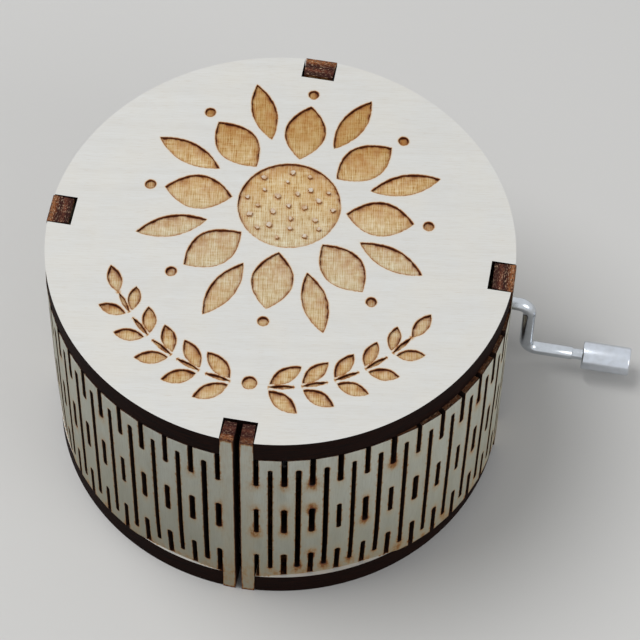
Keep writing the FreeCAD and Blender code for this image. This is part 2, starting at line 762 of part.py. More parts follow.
def worm_wheel():
    """Eighteen teeth that lean as the worm's thread does. A space between teeth points at the worm."""
    body = new_body("worm_wheel")
    hub = new_sketch(body, "wheel_hub")
    circle(hub, "wheel_root")
    pad(body, hub, "wheel_width")
    lean = "(worm_pitch / (2 * pi * worm_pitch_radius))"
    foot = f"({HALF_TOOTH} + 1.25 * tooth_module * {FLANK})"
    tip = f"({HALF_TOOTH} - tooth_module * {FLANK})"
    lag = f"{lean} * wheel_width / 2"
    half_step = "180 / wheel_teeth"
    tooth = new_sketch(body, "wheel_tooth", turn=half_step)
    outline(tooth, [("wheel_root - 0.3", f"-{foot} - {lag}"),
                    ("wheel_pitch_radius + tooth_module", f"-{tip} - {lag}"),
                    ("wheel_pitch_radius + tooth_module", f"{tip} - {lag}"),
                    ("wheel_root - 0.3", f"{foot} - {lag}")])
    leaning = pad(body, tooth, "wheel_width")
    leaning.UseCustomVector = True
    leaning.AlongSketchNormal = True
    bind(leaning, "Direction.x", f"-{lean} * sin({half_step})")
    bind(leaning, "Direction.y", f"{lean} * cos({half_step})")
    bind(leaning, "Direction.z", "1")
    turned_copies(body, "wheel_teeth_round", [leaning], "wheel_teeth")
    boss_end = "wheel_width + wheel_boss_length"
    rod(body, "wheel_boss", "z", "0", boss_end, ("0", "0"), "boss_radius")
    bore(body, "wheel_bore", "z", "0", boss_end, ("0", "0"), "arbor_radius")
    along_arbor = Rotation(Vector(0, 0, -1), Vector(-1, 0, 0), Vector(0, 1, 0), "ZXY")
    body.Placement = Placement(Vector(), along_arbor)
    bind(body, "Placement.Base.x", "drum_middle")
    bind(body, "Placement.Base.y", "crank_offset - wheel_width / 2")
    bind(body, "Placement.Base.z", "drum_height")
    return body


# The crank

def crank_wire():
    """One wire: shaft, arm and handle with a bend between each two, and a turned-down journal."""
    body = new_body("crank_wire")
    left, right = "arm_middle - bend_radius", "arm_middle + bend_radius"
    top, bottom = "crank_height - bend_radius", "handle_height + bend_radius"
    rod(body, "shaft", "x", "shaft_start", left, SHAFT, "wire_radius")
    bend(body, "upper_bend", left, top, 0)
    rod(body, "arm", "z", bottom, top, ("arm_middle", "crank_offset"), "wire_radius")
    bend(body, "lower_bend", right, bottom, 180)
    rod(body, "handle", "x", right, "journal_shoulder", HANDLE, "wire_radius")
    rod(body, "journal", "x", "journal_shoulder", "retainer_start", HANDLE, "journal_radius")
    return body


def bend(body, name, across, up, turn):
    """A quarter of a ring in the plane of the wire, about its own centre."""
    ring = body.newObject("PartDesign::AdditiveTorus", name)
    ring.Angle3 = 90
    in_plane = Rotation(Vector(1, 0, 0), 90)
    ring.Placement = Placement(Vector(), Rotation(Vector(0, 1, 0), turn) * in_plane)
    bind(ring, "Radius1", "bend_radius")
    bind(ring, "Radius2", "wire_radius")
    for letter, formula in zip("xyz", (across, "crank_offset", up)):
        bind(ring, f"Placement.Base.{letter}", formula)


def knob_retainer():
    """A disc riveted on the journal's end, in the knob's recess."""
    body = new_body("knob_retainer")
    rod(body, "retainer_disc", "x", "retainer_start", "retainer_start + retainer_thick", HANDLE,
        "retainer_radius")
    return body


def crank_knob():
    """A turned knob with a running bore and a recess for the retainer."""
    body = new_body("crank_knob")
    half = new_sketch(body, "knob_half", "XZ_Plane", "-crank_offset", ("0", "handle_height"))
    inside = "journal_radius + running_play"
    rim = "knob_radius - knob_chamfer"
    outline(half, [
        ("knob_start", inside), ("knob_start", rim), ("knob_start + knob_chamfer", "knob_radius"),
        ("knob_end - knob_chamfer", "knob_radius"), ("knob_end", rim), ("knob_end", "knob_recess_radius"),
        ("knob_end - knob_recess_depth", "knob_recess_radius"), ("knob_end - knob_recess_depth", inside),
    ])
    turned = body.newObject("PartDesign::Revolution", "knob_turned")
    turned.Profile = half
    turned.ReferenceAxis = (half, ["H_Axis"])
    turned.Angle = 360
    return body


PIECES = [
    base_disc, lid_disc, side_band,
    bedplate, arbor_bracket, bracket_screw, comb, bass_weights, comb_screws, movement_screws,
    drum, left_drum_cap, right_drum_cap, arbor, drum_pins, worm_wheel,
    worm, crank_wire, knob_retainer, crank_knob,
]


def check(pieces):
    """Stops unless every feature was made and every piece is whole."""
    for feature in doc.Objects:
        if {"Invalid", "Error"} & set(feature.State):
            raise RuntimeError(f"{feature.Name} was not made: {feature.getStatusString()}")
    for piece in pieces:
        if piece.Shape.isNull() or not piece.Shape.isValid() or not piece.Shape.Solids:
            raise RuntimeError(f"{piece.Label} has no valid solid")


fill_sheet()
made = [make() for make in PIECES]
doc.recompute()
check(made)
os.makedirs("parts", exist_ok=True)
for piece in made:
    piece.Shape.exportStep(f"parts/{piece.Label}.step")
    print(f"{piece.Label}: {len(piece.Shape.Solids)} solids, {piece.Shape.Volume:.1f} mm3")
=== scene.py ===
"""Looks of a round plywood music box with a hand crank.

Lengths are in millimetres until they become mesh points. The origin is under the middle of the base,
+X is to the right along the crank shaft, +Y to the back and +Z up.
"""
import math
import random

import bpy
from mathutils import Matrix, Vector
from mathutils.geometry import delaunay_2d_cdt
from mathutils.kdtree import KDTree


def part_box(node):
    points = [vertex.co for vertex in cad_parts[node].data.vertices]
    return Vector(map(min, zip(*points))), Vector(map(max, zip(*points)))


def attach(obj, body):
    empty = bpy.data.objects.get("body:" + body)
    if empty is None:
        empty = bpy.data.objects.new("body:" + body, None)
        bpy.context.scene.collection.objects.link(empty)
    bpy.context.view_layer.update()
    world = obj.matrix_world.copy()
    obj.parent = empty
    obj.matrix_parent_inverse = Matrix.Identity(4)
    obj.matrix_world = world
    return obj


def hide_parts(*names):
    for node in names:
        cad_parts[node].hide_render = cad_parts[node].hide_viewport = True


MM = 0.001
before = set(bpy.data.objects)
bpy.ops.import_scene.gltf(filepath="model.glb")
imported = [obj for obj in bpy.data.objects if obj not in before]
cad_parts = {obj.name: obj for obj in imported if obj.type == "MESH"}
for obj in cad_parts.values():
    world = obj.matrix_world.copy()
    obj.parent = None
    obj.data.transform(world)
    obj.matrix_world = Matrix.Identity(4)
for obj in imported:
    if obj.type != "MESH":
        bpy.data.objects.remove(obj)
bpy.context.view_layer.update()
SEED = random.Random(7)

# The discs
DISC_RADIUS = 40.0
DISC_THICK = 5.0
NOTCH_FLOOR = 35.85
NOTCH_HALF = 2.9
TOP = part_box("lid_disc")[1].z / MM
LID_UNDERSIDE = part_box("lid_disc")[0].z / MM
SCREW_HEAD_RADIUS = 2.3
RECESS_RADIUS = 2.7
RECESS_DEPTH = 1.8

# The band
BAND_OUTER = 40.16
BAND_THICK = 3.68
TAB_HALF = 2.8
SEAM_GAP = 1.1
SLOT_WIDTH = 0.88
SLOTS_PER_SIDE = 12
LONG_SLOT_MARGIN = 3.0
EDGE_SLOT_DEPTH = 8.3
MIDDLE_SLOT_LENGTH = 8.0
CRANK_HOLE_RADIUS = 3.0

# The springy strip stands out most at this azimuth, by this much.
BULGE_AZIMUTH = -27
BULGE = 0.8
# Between these azimuths its foot is tucked in, at most by the third number.
TUCKS = ((-86, -49, 0.85), (6, 36, 0.35), (56, 83, 0.4), (97, 128, 0.5), (188, 214, 0.35), (243, 266, 0.5))
TUCK_TOP = 22

# Scorch marks at the slots' ends: how much longer than wide they are, and the mesh's rings there,
# each with its radius and the angle that it starts at.
HALO_STRETCH = 1.8
HALO_RINGS = ((0.62, 15), (0.9, 0), (1.2, 15), (1.6, 0), (2.1, 15))

# The ornament on the lid
ENGRAVING = 0.45
ROSETTE_SHIFT = 8.0
GRAIN_TURN = 8.8
HEART_RADIUS = 8.8
GARLAND_RADIUS = 29.0
BEAD_RADIUS = 0.9
BEAD_RING = 24.2
# Start, end and half the width of a leaf that points away from the rosette's middle
PETAL = 10.0, 21.6, 3.5
SPEAR = 14.4, 26.6, 2.1
# Radius, number of dots and first angle
DOT_RINGS = (0.0, 1, 0), (2.8, 5, 0), (5.1, 8, 15), (7.2, 11, 5)

# The crank
CRANK_Y = 16.6
SHAFT_Z = 18.0
HANDLE_Z = 4.7
WIRE_RADIUS = 1.2
JOURNAL_RADIUS = 1.0
WIRE_CHAMFER = 0.15
BEND_RADIUS = 2.2
ARM_X = 42.93
SHOULDER_X = 51.73
KNOB_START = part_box("crank_knob")[0].x / MM
KNOB_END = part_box("crank_knob")[1].x / MM
KNOB_RADIUS = 2.6

# The camera
CAMERA_PLACE = 50.47, -280.42, 458.6
CAMERA_TARGET = 9.285, -14.228, 50.0
CAMERA_ROLL = 1.462


# ---------------------------------------------------------------- shapes in a flat sheet

def on_circle(radius, degrees, middle=(0.0, 0.0)):
    angle = math.radians(degrees)
    return middle[0] + radius * math.cos(angle), middle[1] + radius * math.sin(angle)


def arc(radius, start, end, step, middle=(0.0, 0.0)):
    """Points along an arc, both ends included, about one step of length apart."""
    count = max(2, round(abs(math.radians(end - start)) * radius / step))
    return [on_circle(radius, start + (end - start) * k / count, middle) for k in range(count + 1)]


def round_hole(radius, middle, step=0.3):
    return arc(radius, 0, 360, step, middle)[:-1]


def pebble(radius, middle):
    """A small round shape with an uneven edge."""
    return [on_circle(radius * SEED.uniform(0.7, 1.3), 30 * k, middle) for k in range(12)]


def moved(points, turn, middle=(0.0, 0.0)):
    """Points turned about the origin by some degrees, and then moved."""
    c, s = math.cos(math.radians(turn)), math.sin(math.radians(turn))
    return [(middle[0] + c * x - s * y, middle[1] + s * x + c * y) for x, y in points]


def lens(start, end, half_width, step=0.35):
    """A leaf between two points of the X axis, bounded by two arcs."""
    count = max(4, round((end - start) / step))
    sides = []
    for side in (1, -1):
        points = []
        for k in range(count):
            along = k / count if side > 0 else 1 - k / count
            swell = 4 * along * (1 - along)
            points.append((start + (end - start) * along, side * half_width * swell))
        sides += points
    return sides


def disc_outline():
    """A disc with four notches, counter-clockwise from the first notch."""
    half = math.degrees(math.asin(NOTCH_HALF / DISC_RADIUS))
    points = []
    for side in range(4):
        edge = arc(DISC_RADIUS, half, 90 - half, 0.8)
        notch = [(NOTCH_FLOOR, -NOTCH_HALF), (NOTCH_FLOOR, NOTCH_HALF)]
        points += moved(notch + edge, 90 * side)
    return points


# ---------------------------------------------------------------- solids from a flat sheet

def counter_clockwise(loop):
    area = sum(ax * by - bx * ay for (ax, ay), (bx, by) in zip(loop, loop[1:] + loop[:1]))
    return loop if area > 0 else loop[::-1]


class Sheet:
    """A flat outline with shapes in it, as triangles that know which shapes they are in."""

    def __init__(self, outline, shapes, extra=()):
        loops, points = [], []
        for loop in [outline, *shapes]:
            loops.append(list(range(len(points), len(points) + len(loop))))
            points += counter_clockwise(loop)
        points += extra
        inside_only, tolerance = 1, 1e-6
        found = delaunay_2d_cdt([Vector(point) for point in points], [], loops, inside_only, tolerance)
        self.points = found[0]
        self.triangles = []
        for corners, inside in zip(found[2], found[5]):
            a, b, c = (self.points[corner] for corner in corners)
            turned = (b - a).cross(c - a) < 0
            self.triangles.append((corners[::-1] if turned else corners, inside))


def solid(name, sheet, level, place, depths, thickness, tint):
    """A closed mesh. level(shapes) is a triangle's step in depths, or None where it is cut away.

    place(x, y, depth) puts a point in space. tint(x, y, depth), 0 to 1, is how scorched the wood is there; on
    the base's top it is painted shade instead.
    Material slots: 0 face, 1 floor of the engraving, 2 wall of the engraving, 3 cut edge, 4 back.
    """
    corners, coordinates, scorch_and_shade, faces, slots = {}, [], [], [], []

    def corner(index, depth):
        key = index, depth
        if key not in corners:
            x, y = sheet.points[index]
            corners[key] = len(coordinates)
            coordinates.append((x, y, depth))
            scorch_and_shade.append(tint(x, y, depth))
        return corners[key]

    sides = {}
    for triangle, shapes in sheet.triangles:
        step = level(shapes)
        if step is None:
            continue
        faces.append([corner(index, depths[step]) for index in triangle])
        slots.append(1 if step else 0)
        faces.append([corner(index, thickness) for index in reversed(triangle)])
        slots.append(4)
        for here, there in zip(triangle, triangle[1:] + triangle[:1]):
            sides[here, there] = step
    for (here, there), step in sides.items():
        other = sides.get((there, here))
        if other is None:
            faces.append([corner(here, depths[step]), corner(here, thickness),
                          corner(there, thickness), corner(there, depths[step])])
            slots.append(3)
        elif step < other:
            faces.append([corner(here, depths[step]), corner(here, depths[other]),
                          corner(there, depths[other]), corner(there, depths[step])])
            slots.append(2)
    mesh = bpy.data.meshes.new(name)
    mesh.from_pydata([Vector(place(*at)) * MM for at in coordinates], [], faces)
    mesh.polygons.foreach_set("material_index", slots)
    flat = mesh.attributes.new("sheet", "FLOAT_VECTOR", "POINT")
    flat.data.foreach_set("vector", [number for at in coordinates for number in at])
    # The attribute holds laser scorch, and on the base's top painted shade under the band.
    darkened = mesh.attributes.new("scorch_and_shade", "FLOAT", "POINT")
    darkened.data.foreach_set("value", scorch_and_shade)
    mesh.shade_smooth()
    mesh.set_sharp_from_angle(angle=math.radians(30))
    piece = bpy.data.objects.new(name, mesh)
    bpy.context.collection.objects.link(piece)
    return piece


def beside(loop, distance):
    """Points at a distance outside a counter-clockwise loop, or inside it where the distance is negative."""
    points = []
    loop = counter_clockwise(loop)
    for before, here, after in zip(loop[-1:] + loop[:-1], loop, loop[1:] + loop[:1]):
        along = Vector(after) - Vector(before)
        outward = Vector((along.y, -along.x)).normalized()
        points.append(tuple(Vector(here) + outward * distance))
    return points


def nearest(loops):
    """A function for the distance to the nearest corner of some loops."""
    tree = KDTree(sum(len(loop) for loop in loops))
    for number, point in enumerate(point for loop in loops for point in loop):
        tree.insert((*point, 0.0), number)
    tree.balance()
    return lambda x, y: tree.find((x, y, 0.0))[2]


def fade(distance, reach):
    """1 at no distance, about a third at one reach, and next to nothing at two."""
    return math.exp(-(distance / reach) ** 2)


def dress(piece, body, materials, node):
    """Gives a piece its materials and its body, and hides the node that it stands for."""
    for material in materials:
        piece.data.materials.append(material)
    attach(piece, body)
    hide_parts(node)


# ---------------------------------------------------------------- materials

def colour(code):
    """Linear colour with alpha from a hex sRGB code."""
    channels = [int(code[k:k + 2], 16) / 255 for k in (0, 2, 4)]
    return (*(c / 12.92 if c < 0.04045 else ((c + 0.055) / 1.055) ** 2.4 for c in channels), 1.0)


class Look:
    """A material and short calls for the nodes that it is made of."""

    def __init__(self, name, roughness, metallic=0.0, specular=0.5):
        self.material = bpy.data.materials.new(name)
        self.material.use_nodes = True
        self.tree = self.material.node_tree
        self.surface = self.tree.nodes["Principled BSDF"]
        self.surface.inputs["Roughness"].default_value = roughness
        self.surface.inputs["Metallic"].default_value = metallic
        self.surface.inputs["Specular IOR Level"].default_value = specular

    def node(self, kind, inputs, **settings):
        made = self.tree.nodes.new("ShaderNode" + kind)
        for name, setting in settings.items():
            setattr(made, name, setting)
        for name, given in inputs.items():
            if isinstance(given, bpy.types.NodeSocket):
                self.tree.links.new(given, made.inputs[name])
            else:
                made.inputs[name].default_value = given
        return made

    def sheet(self):
        return self.node("Attribute", {}, attribute_name="sheet").outputs["Vector"]

    def scorch_and_shade(self):
        return self.node("Attribute", {}, attribute_name="scorch_and_shade").outputs["Fac"]

    def millimetres(self):
        """The place in the part's frame."""
        place = self.node("TexCoord", {}).outputs["Object"]
        return self.node("VectorMath", {0: place, 1: (1 / MM,) * 3}, operation="MULTIPLY").outputs[0]

    def stretched(self, place, scale, turn=0.0):
        turned = self.node("Mapping", {"Vector": place, "Rotation": (0, 0, math.radians(turn))})
        return self.node("Mapping", {"Vector": turned.outputs[0], "Scale": scale}).outputs[0]

    def noise(self, place, scale, detail=2.0, roughness=0.5):
        inputs = {"Vector": place, "Scale": scale, "Detail": detail, "Roughness": roughness}
        return self.node("TexNoise", inputs).outputs["Fac"]

    def wave(self, place, scale, distortion):
        """Bands across the X axis."""
        inputs = {"Vector": place, "Scale": scale, "Distortion": distortion, "Detail": 2.0}
        return self.node("TexWave", inputs, bands_direction="X").outputs["Fac"]

    def ramp(self, fac, *stops):
        made = self.node("ValToRGB", {"Fac": fac})
        points = made.color_ramp.elements
        while len(points) < len(stops):
            points.new(1.0)
        for point, (position, code) in zip(points, stops):
            point.position = position
            point.color = colour(code)
        return made.outputs["Color"]

    def mix(self, fac, first, second, blend="MIX"):
        """Mixes two colours, each a hex code or a socket.

        The Mix node has its colours at inputs 6 and 7 and at output 2.
        """
        made = self.node("Mix", {"Factor": fac}, data_type="RGBA", blend_type=blend)
        for socket, given in ((made.inputs[6], first), (made.inputs[7], second)):
            if isinstance(given, str):
                socket.default_value = colour(given)
            else:
                self.tree.links.new(given, socket)
        return made.outputs[2]

    def maths(self, operation, first, second=0.0):
        made = self.node("Math", {}, operation=operation)
        for socket, given in zip(made.inputs, (first, second)):
            if isinstance(given, bpy.types.NodeSocket):
                self.tree.links.new(given, socket)
            else:
                socket.default_value = given
        return made.outputs[0]

    def spread(self, fac, low, high, start=0.0, end=1.0):
        inputs = {"Value": fac, "From Min": low, "From Max": high, "To Min": start, "To Max": end}
        return self.node("MapRange", inputs).outputs[0]

    def finish(self, base, height=None, distance=0.05, strength=0.5, roughness=None):
        """Links colour, bump in millimetres and roughness, and returns the material."""
        self.tree.links.new(base, self.surface.inputs["Base Color"])
        if height is not None:
            inputs = {"Height": height, "Distance": distance * MM, "Strength": strength}
            self.tree.links.new(self.node("Bump", inputs).outputs[0], self.surface.inputs["Normal"])
        if roughness is not None:
            self.tree.links.new(roughness, self.surface.inputs["Roughness"])
        return self.material


def wood_face(name, across, along, turn, pale, deep, streak, fleck, warm, foot=None):
    """Pale basswood veneer, browned where the attribute from tint says: by the laser's scorch, and on the
    base's top by painted shade under the band.

    foot is the colour that the sheet darkens to along its low side: painted shade of the light falling off
    towards the foot, with a yellowish smoke stain in it.
    """
    look = Look(name, 0.62, specular=0.3)
    place = look.sheet()
    along_grain = look.stretched(place, (across, along, 1.0), turn)
    broad = look.noise(look.stretched(place, (across * 0.12, along * 0.25, 1.0), turn), 1.0, 3.0)
    fibres = look.noise(along_grain, 1.6, 4.0, 0.65)
    pores = look.spread(look.noise(along_grain, 3.4, 1.0), 0.66, 0.78)
    wood = look.mix(look.spread(broad, 0.3, 0.7), pale, deep)
    wood = look.mix(look.spread(look.noise(place, 0.11, 2.0), 0.4, 0.7, 0.0, 0.6), wood, warm)
    wood = look.mix(look.spread(fibres, 0.45, 0.75, 0.0, 0.4), wood, streak)
    wood = look.mix(look.maths("MULTIPLY", pores, 0.3), wood, fleck)
    # Painted shade with a smoke stain in it: darker and yellower towards the sheet's low side.
    if foot:
        height = look.node("SeparateXYZ", {"Vector": place}).outputs["Y"]
        wood = look.mix(look.spread(height, 4.0, 46.0, 0.62, 0.0), wood, foot)
    blotches = look.noise(look.stretched(place, (1.3, 0.55, 1.0)), 1.0, 3.0, 0.6)
    uneven = look.maths("MULTIPLY", look.spread(blotches, 0.35, 0.65, 0.6, 1.3),
                        look.spread(fibres, 0.3, 0.7, 0.85, 1.2))
    # Laser scorch, and on the base's top painted shade under the band, both go through the brown ramp below.
    darkening = look.maths("MULTIPLY", look.scorch_and_shade(), uneven)
    darkened = look.ramp(darkening, (0.0, "d6c6a2"), (0.25, "bf935a"), (0.55, "83481f"), (0.9, "32180b"))
    wood = look.mix(look.spread(darkening, 0.02, 0.38), wood, darkened)
    height = look.maths("SUBTRACT", fibres, look.maths("MULTIPLY", pores, 0.6))
    return look.finish(wood, height, 0.05, 0.35)


def engraved_floor():
    """Golden ground of the engraving: laser lines over fibres, browner at the back and paler in front."""
    look = Look("engraved_floor", 0.75, specular=0.15)
    place = look.stretched(look.sheet(), (1, 1, 1), -GRAIN_TURN)
    rows = look.noise(look.stretched(place, (3.4, 0.5, 1)), 1.0, 2.0, 0.6)
    across = look.noise(look.stretched(place, (0.45, 3.0, 1)), 1.0, 2.0, 0.6)
    fine = look.wave(place, 0.8, 2.5)
    patches = look.noise(place, 0.25, 3.0)
    weave = look.maths("ADD", look.maths("MULTIPLY", rows, 0.5), look.maths("MULTIPLY", across, 0.38))
    weave = look.maths("ADD", weave, look.maths("MULTIPLY", fine, 0.1))
    ground = look.ramp(look.spread(weave, 0.33, 0.65), (0.0, "a2763f"), (0.35, "c9aa76"), (1.0, "e2d0ac"))
    ground = look.mix(look.spread(patches, 0.45, 0.7, 0.0, 0.45), ground, "bb8a50")
    height = look.node("SeparateXYZ", {"Vector": look.sheet()}).outputs["Y"]
    ground = look.mix(look.spread(height, 15.0, 23.0), ground, "e6dac1", "MULTIPLY")
    paler = look.maths("MULTIPLY", look.spread(height, 11.0, 0.0, 0.0, 0.6),
                       look.spread(height, -19.0, -9.0, 0.2, 1.0))
    ground = look.mix(paler, ground, look.mix(look.spread(weave, 0.33, 0.65), "b5a27a", "dddac4"))
    darkening = look.maths("MULTIPLY", look.scorch_and_shade(), look.spread(look.noise(place, 0.7), 0.35, 0.65, 0.4, 1.25))
    darkened = look.ramp(darkening, (0.0, "c08d52"), (0.3, "a8672e"), (0.6, "7a3d1a"), (1.0, "38190c"))
    ground = look.mix(look.spread(darkening, 0.03, 0.75), ground, darkened)
    return look.finish(ground, weave, 0.15, 0.7)


def engraved_wall():
    """Wall of the engraving: dark brown round the shapes, and lighter round the heart's dots."""
    look = Look("engraved_wall", 0.7, specular=0.1)
    streaks = look.noise(look.sheet(), 1.6, 3.0, 0.65)
    darkening = look.maths("MULTIPLY", look.scorch_and_shade(), look.spread(streaks, 0.3, 0.7, 0.75, 1.2))
    tone = look.ramp(darkening, (0.1, "c79f6c"), (0.35, "9c683a"), (0.62, "6f3519"), (0.95, "42200f"))
    return look.finish(tone, streaks, 0.1, 0.5)


def disc_edge():
    """Edge of a disc as the laser cut it: almost black, with brown streaks."""
    look = Look("disc_edge", 0.85, specular=0.08)
    place = look.sheet()
    streaks = look.noise(look.stretched(place, (0.25, 0.25, 3.0)), 1.1, 4.0, 0.65)
    specks = look.noise(place, 5.0, 2.0, 0.6)
    tone = look.maths("ADD", look.maths("MULTIPLY", streaks, 0.7), look.maths("MULTIPLY", specks, 0.3))
    brown = look.ramp(look.spread(tone, 0.38, 0.68), (0.0, "080302"), (1.0, "26110a"))
    return look.finish(brown, tone, 0.1, 0.5)


def band_edge():
    """Cut edge of the band. Slots are black inside; a tab's end shows its three plies, browned, with pale
    flecks that are partly pale fibre and partly painted glints.
    """
    look = Look("band_edge", 0.75, specular=0.15)
    place = look.sheet()
    parts = look.node("SeparateXYZ", {"Vector": place})
    height, depth = parts.outputs["Y"], parts.outputs["Z"]
    fibres = look.noise(look.stretched(place, (1.3, 1.3, 4.2)), 1.3, 4.0, 0.7)
    flecks_and_glints = look.noise(look.stretched(place, (1.4, 1.4, 4.4)), 1.2, 3.0, 0.7)
    pits = look.noise(look.stretched(place, (0.8, 0.8, 1.3)), 2.6, 3.0, 0.7)
    soot = look.noise(look.stretched(place, (0.35, 0.35, 0.7)), 0.8, 2.0)
    ply = look.maths("ADD", look.maths("DIVIDE", depth, BAND_THICK),
                     look.spread(fibres, 0.3, 0.7, -0.07, 0.07))
    plies = look.ramp(
        ply, (0.0, "3f1e11"), (0.05, "99633f"), (0.15, "a0683f"), (0.26, "78401f"),
        (0.38, "34130b"), (0.48, "270e09"), (0.56, "512619"), (0.63, "84503a"),
        (0.71, "703c2b"), (0.79, "32150b"), (0.9, "20100a"), (1.0, "110704"))
    plies = look.mix(look.spread(pits, 0.49, 0.6, 0.0, 0.85), plies, "210c07")
    # Pale flecks: partly pale fibre, partly painted glints of light off the charred fibres.
    plies = look.mix(look.spread(flecks_and_glints, 0.55, 0.63, 0.0, 0.85), plies, "dcb998")
    soot = look.maths("MULTIPLY", look.scorch_and_shade(), look.spread(soot, 0.35, 0.6, 0.3, 1.3))
    plies = look.mix(look.spread(soot, 0.1, 0.9, 0.0, 0.7), plies, "33110b")
    streaks = look.noise(look.stretched(place, (0.7, 0.7, 4.0)), 1.0, 3.0)
    slot = look.ramp(look.spread(streaks, 0.35, 0.7), (0.0, "0e0705"), (1.0, "33190f"))
    from_middle = look.maths("ABSOLUTE", look.maths("SUBTRACT", height, TOP / 2))
    slack = 0.01
    shoulder = look.maths("GREATER_THAN", from_middle, LID_UNDERSIDE - TOP / 2 - slack)
    tab_end = look.maths("GREATER_THAN", from_middle, TOP / 2 - slack)
    browned = look.mix(look.maths("MULTIPLY", shoulder, 0.35), slot, plies)
    return look.finish(look.mix(tab_end, browned, plies), fibres, 0.2, 0.7)


def metal(name, tint, roughness, grooves=None):
    """Bare metal with faint marks. grooves=(scale, depth) adds what a lathe leaves, across the X axis."""
    look = Look(name, roughness, metallic=1.0)
    place = look.millimetres()
    marks = look.noise(place, 0.9, 2.0)
    tone = look.mix(look.spread(marks, 0.35, 0.7, 0.0, 0.2), tint, "9a9996")
    gloss = look.spread(marks, 0.3, 0.7, roughness * 0.9, roughness * 1.1)
    if grooves is None:
        return look.finish(tone, marks, 0.002, 0.2, gloss)
    scale, depth = grooves
    return look.finish(tone, look.wave(place, scale, 0.2), depth, 0.5, gloss)


def plastic(name, code, roughness):
    look = Look(name, roughness)
    grain = look.noise(look.millimetres(), 2.0, 3.0)
    return look.finish(look.mix(look.spread(grain, 0.3, 0.7, 0.0, 0.2), code, "9b968c"), grain, 0.02, 0.3)


# ---------------------------------------------------------------- the lid

def rosette():
    """Heart, petals, spears and beads about the ornament's middle, and the heart's raised dots."""
    middle = (0.0, ROSETTE_SHIFT)
    cut = [round_hole(HEART_RADIUS, middle)]
    for turn in range(0, 360, 45):
        cut.append(moved(lens(*PETAL), turn, middle))
        cut.append(moved(lens(*SPEAR), turn + 22.5, middle))
        cut.append(round_hole(BEAD_RADIUS, on_circle(BEAD_RING, turn, middle), 0.25))
    dots = []
    for ring, count, offset in DOT_RINGS:
        for number in range(count):
            out = ring + SEED.uniform(-0.35, 0.35)
            turn = 360 / count * number + offset + SEED.uniform(-8, 8)
            dots.append(pebble(SEED.uniform(0.3, 0.52), on_circle(out, turn, middle)))
    return cut, dots


def garland():
    """Two sprays of leaves that leave a berry at the front and run round the lid both ways."""
    cut = [round_hole(1.2, (0.0, -28.5), 0.25)]
    pairs, first, step, lean = 5, 5, 11.0, 38
    for side in (1, -1):
        for number in range(pairs):
            azimuth = -90 + side * (first + step * number)
            middle = on_circle(GARLAND_RADIUS, azimuth)
            ahead = azimuth + side * 90
            size = 1.0 - 0.06 * number
            leaf = lens(1.1, 1.1 + 6.2 * size, 1.35 * size)
            cut += [moved(leaf, ahead - lean, middle), moved(leaf, ahead + lean, middle)]
            cut.append(moved(lens(0.7, 5.0, 0.34), ahead + side * 5, middle))
        azimuth = -90 + side * (first + step * pairs)
        cut.append(moved(lens(-0.3, 5.2, 1.15), azimuth + side * 95, on_circle(GARLAND_RADIUS, azimuth)))
    return cut


def lid():
    cut, dots = rosette()
    cut += garland()
    rows = 0.22, 0.55, -0.25, -0.7
    extra = [point for loop in cut + dots for distance in rows for point in beside(loop, distance)]
    rim = 1.6
    for side in range(4):
        extra += [on_circle(DISC_RADIUS - rim, 4 + 82 * k / 60 + 90 * side) for k in range(61)]
    sheet = Sheet(disc_outline(), cut + dots, extra)
    edge, dot = nearest(cut), nearest(dots)

    def level(shapes):
        engraved = any(1 <= shape <= len(cut) for shape in shapes)
        raised = any(shape > len(cut) for shape in shapes)
        return 1 if engraved and not raised else 0

    def tint(x, y, depth):
        from_edge, from_dot = edge(x, y), dot(x, y)
        share = 0.72 if math.hypot(x, y - ROSETTE_SHIFT) < HEART_RADIUS + 0.6 else 1.0
        if depth > 0:
            # Browner on the floor just in front of the engraving's back walls.
            back_wall_brown = 0.34 * fade(edge(x, y + 0.7), 1.0)
            return back_wall_brown + share * 0.75 * fade(from_edge, 0.22) + 0.28 * fade(from_dot, 0.35)
        return share * 0.52 * fade(from_edge, 0.16) + 0.27 * fade(from_dot, 0.6)

    def place(x, y, depth):
        return x, y, TOP - depth

    piece = solid("lid", sheet, level, place, (0.0, ENGRAVING), DISC_THICK, tint)
    materials = [LID_FACE, engraved_floor(), engraved_wall(), DISC_EDGE, LID_FACE]
    dress(piece, "box", materials, "lid_disc")


